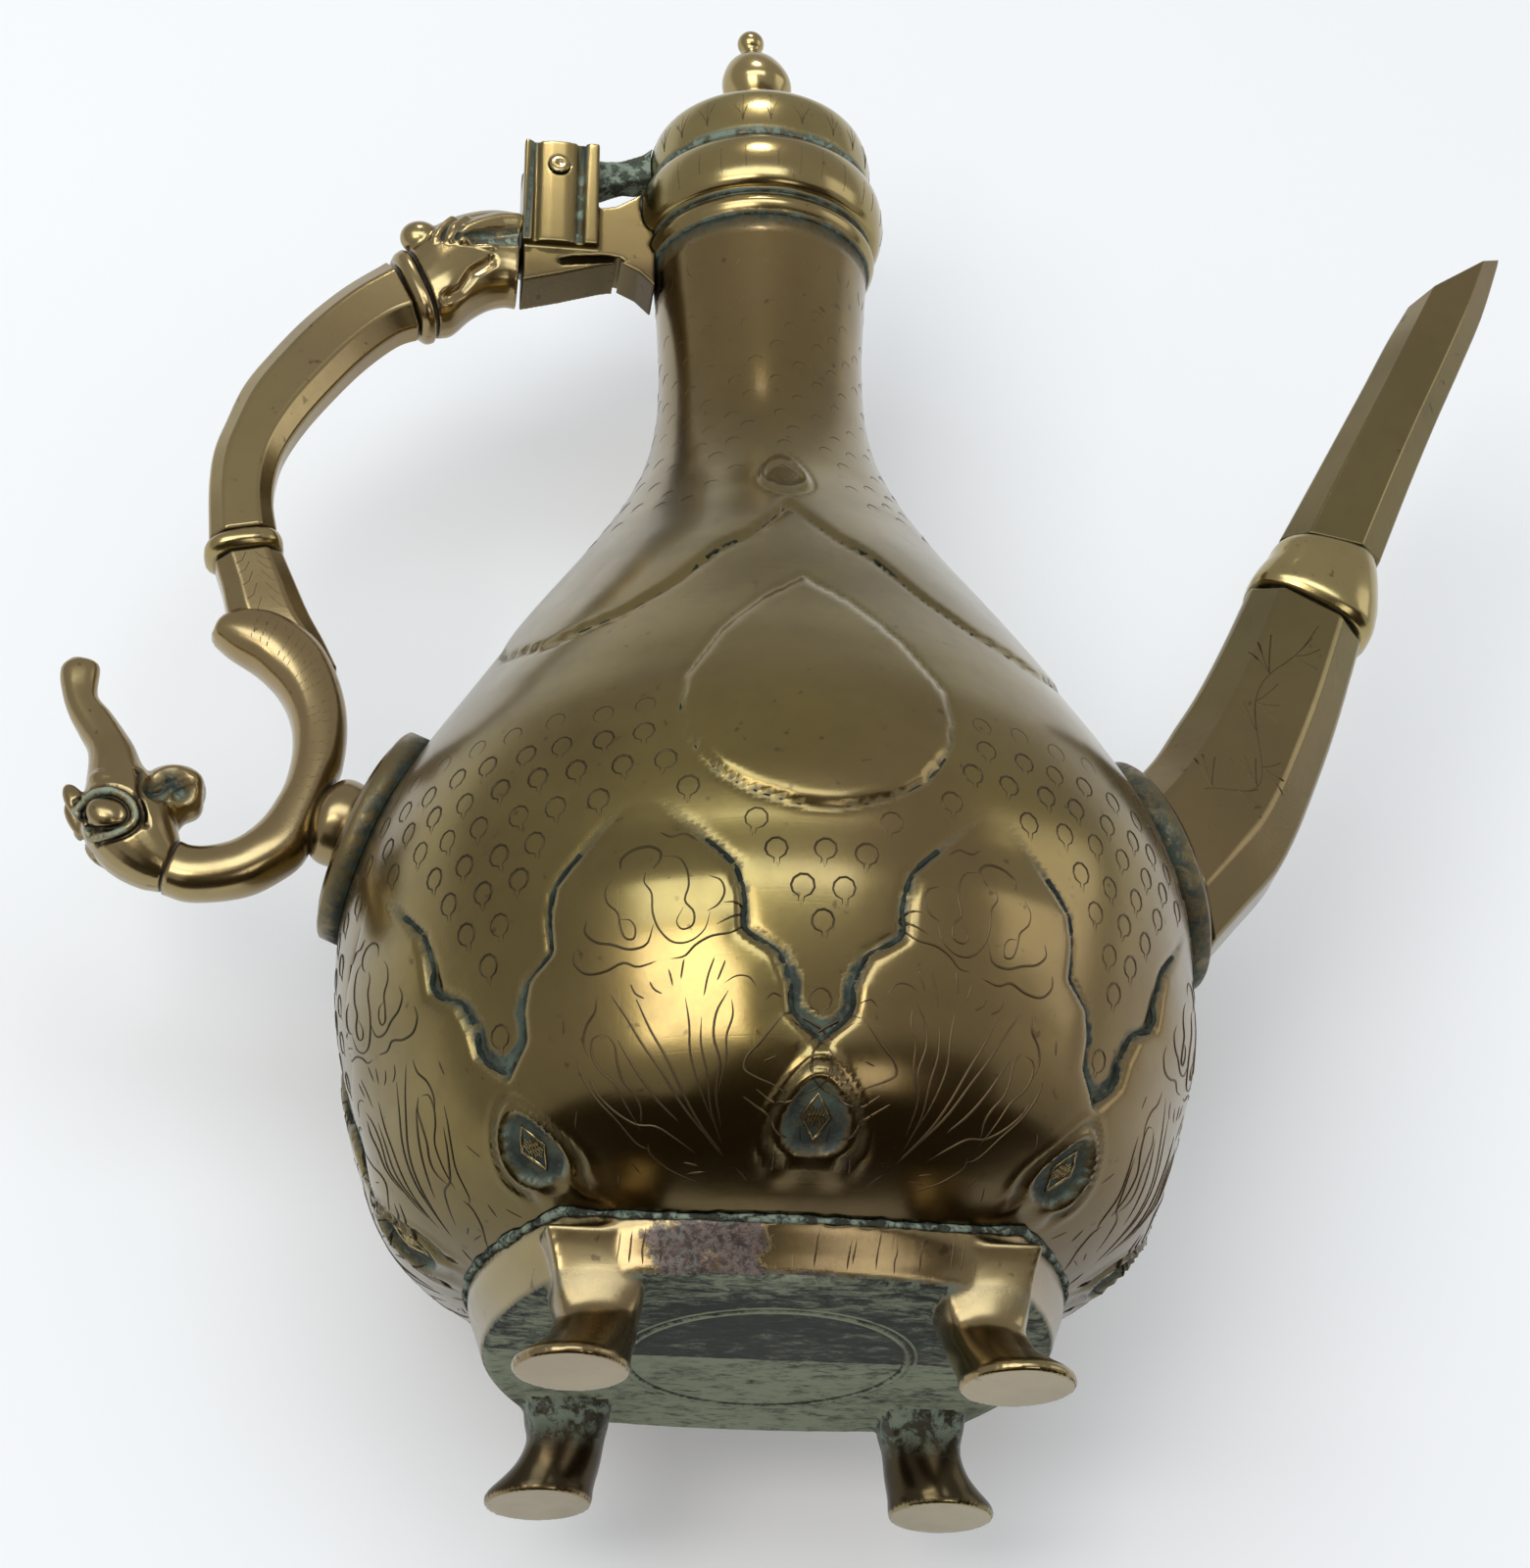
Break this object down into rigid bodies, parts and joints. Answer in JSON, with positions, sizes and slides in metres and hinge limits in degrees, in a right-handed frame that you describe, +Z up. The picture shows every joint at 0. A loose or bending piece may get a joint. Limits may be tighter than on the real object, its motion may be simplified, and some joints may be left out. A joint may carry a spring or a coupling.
{
  "type": "ewer",
  "caption": "Cast brass ewer: pear-shaped body on a square stand with splayed feet, long faceted spout, hinged domed lid and a dragon-headed scroll handle.",
  "frame": {"origin": "middle of the base disc's underside, on the vessel's axis", "axes": "+Z up the vessel's axis, +X towards the spout, -X towards the handle, -Y the front"},
  "size_m": [0.2789, 0.1504, 0.3],
  "materials": {
    "aged_brass": "aged, rubbed and engraved",
    "worn_brass": "polished by handling",
    "dark_brass": "dark patina",
    "green_brass": "matt green corrosion"
  },
  "bodies": {
    "vessel": {"body_shell": "aged_brass", "base_disc": "green_brass", "stand_frame": "dark_brass", "foot_front_right": "aged_brass", "foot_front_left": "aged_brass", "foot_back_right": "dark_brass", "foot_back_left": "dark_brass", "neck_ring": "aged_brass", "mouth_collar": "aged_brass", "hinge_bracket": "aged_brass", "hinge_pin": "worn_brass", "dragon_head": "worn_brass", "dragon_collar": "worn_brass", "handle_bar": "worn_brass", "handle_ring": "worn_brass", "handle_tail": "aged_brass", "handle_scroll": "worn_brass", "terminal_head": "aged_brass", "handle_boss": "aged_brass", "handle_pad": "aged_brass", "spout_pad": "aged_brass", "spout_lower": "aged_brass", "spout_ring": "worn_brass", "spout_upper": "dark_brass"},
    "lid": {"lid_dome": "aged_brass", "lid_tongue": "green_brass", "lid_finial": "worn_brass"}
  },
  "joints": [
    {"name": "lid_hinge", "type": "hinge", "parent": "vessel", "child": "lid", "pos_m": [-0.0404, 0, 0.2416], "axis": [0, -1, 0], "range_deg": [0, 105]}
  ]
}
